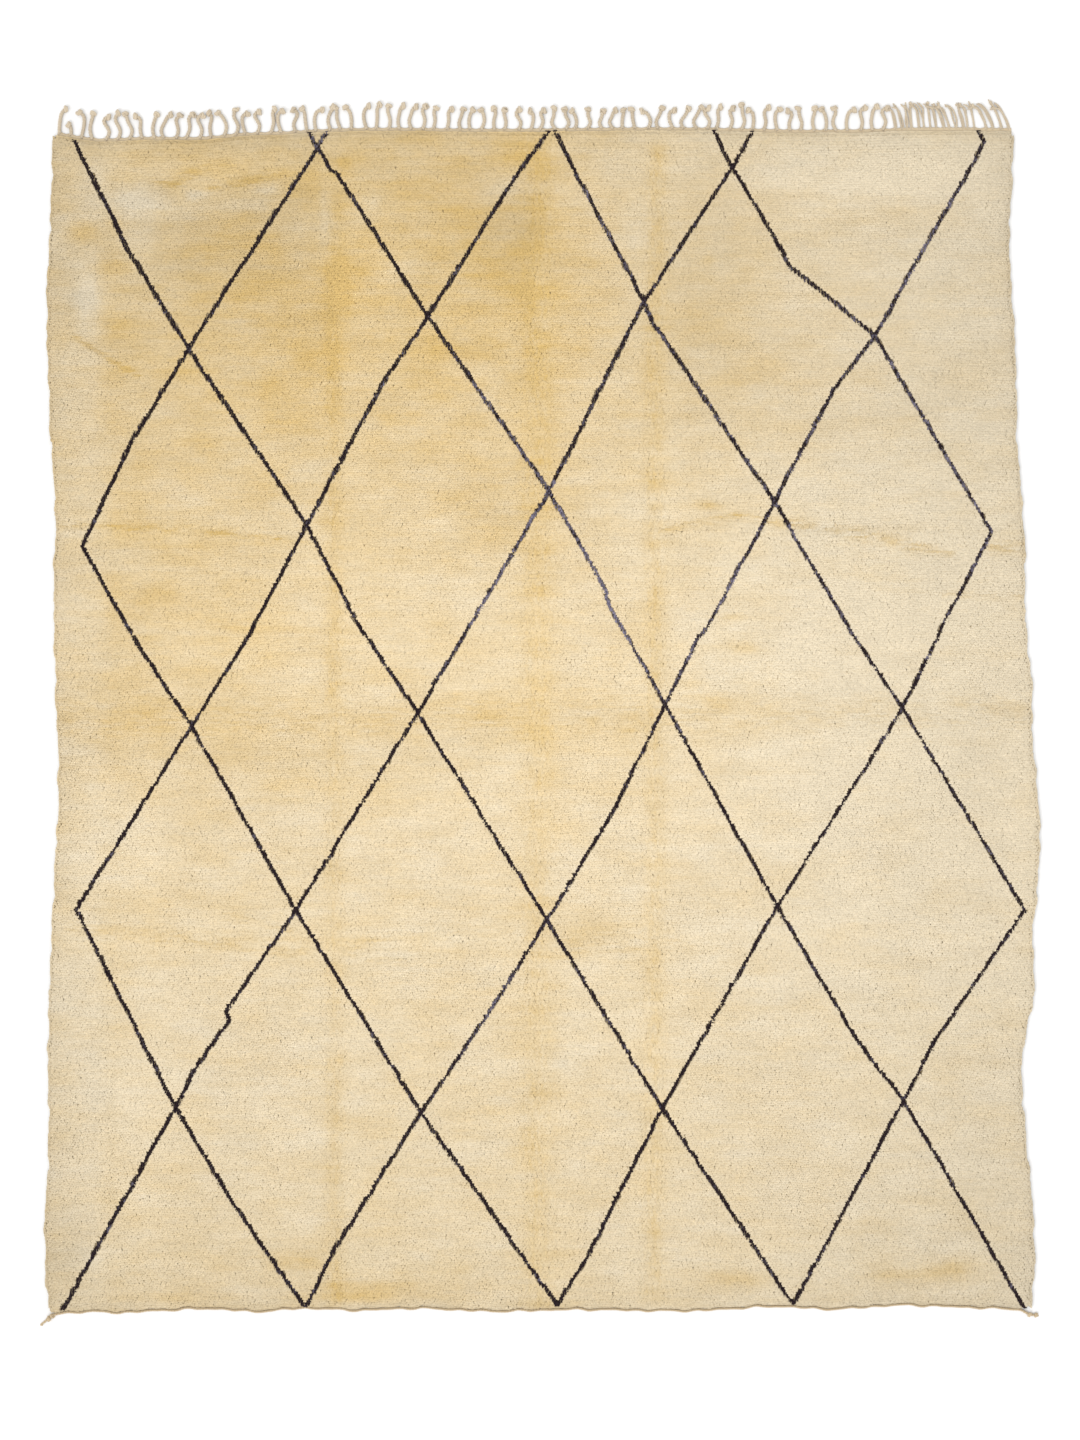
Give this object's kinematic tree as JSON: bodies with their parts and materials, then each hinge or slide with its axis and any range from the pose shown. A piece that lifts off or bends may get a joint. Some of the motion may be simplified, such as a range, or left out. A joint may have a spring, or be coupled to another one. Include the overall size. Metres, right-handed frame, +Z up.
{
  "type": "beni ourain rug",
  "caption": "Hand-knotted wool floor rug lying flat: cream pile with an uneven dark lattice, knotted warp fringe at its far end and a sewn cord at its plain end.",
  "frame": {"origin": "centre of the field's flat underside, on the floor", "axes": "+Y along the rug's length towards its fringed end, +X across it to the right, +Z up out of the pile"},
  "size_m": [3.1095, 3.8208, 0.0207],
  "materials": {
    "pile_wool": "soft matte wool pile, cream to gold with uneven dye",
    "lattice_wool": "soft matte wool pile, dark indigo and brown black",
    "band_yarn": "matte twisted wool warp, beige",
    "cord_yarn": "matte twisted wool cord, dull beige"
  },
  "bodies": {
    "root": {"pile_field": "pile_wool", "warp_fringe": "band_yarn", "end_cord": "cord_yarn"}
  },
  "joints": []
}
